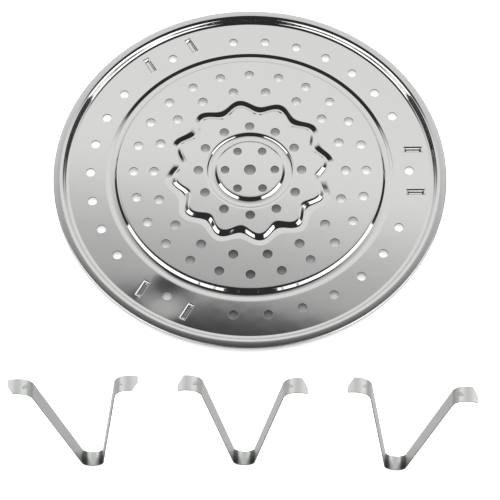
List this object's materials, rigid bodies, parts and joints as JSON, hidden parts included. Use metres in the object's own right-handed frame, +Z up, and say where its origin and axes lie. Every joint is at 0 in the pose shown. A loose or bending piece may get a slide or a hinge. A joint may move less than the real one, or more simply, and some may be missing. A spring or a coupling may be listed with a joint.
{
  "type": "steamer rack",
  "caption": "Round perforated steamer tray with a raised rim, a pressed flower and strap loops, with loose spring-strip V legs that hook into the loops to stand it in a pot.",
  "frame": {"origin": "bottom centre of the laid-out set's box, on the surface that the tray and the legs stand on", "axes": "+Z up; +X along the row of legs to the right; +Y from the row of legs towards the tray"},
  "size_m": [0.22, 0.2882, 0.0976],
  "materials": {
    "tray_steel": "polished, mirror-like stainless sheet",
    "leg_steel": "satin spring strip with sheared edges"
  },
  "bodies": {
    "tray": {"steamer_plate": "tray_steel"},
    "leg_left": {"leg_left": "leg_steel"},
    "leg_middle": {"leg_middle": "leg_steel"},
    "leg_right": {"leg_right": "leg_steel"}
  },
  "joints": [
    {"name": "lift_left", "type": "slide", "parent": "tray", "child": "leg_left", "axis": [0, 0, 1], "range_m": [0, 0.12]},
    {"name": "lift_middle", "type": "slide", "parent": "tray", "child": "leg_middle", "axis": [0, 0, 1], "range_m": [0, 0.12]},
    {"name": "lift_right", "type": "slide", "parent": "tray", "child": "leg_right", "axis": [0, 0, 1], "range_m": [0, 0.12]}
  ]
}
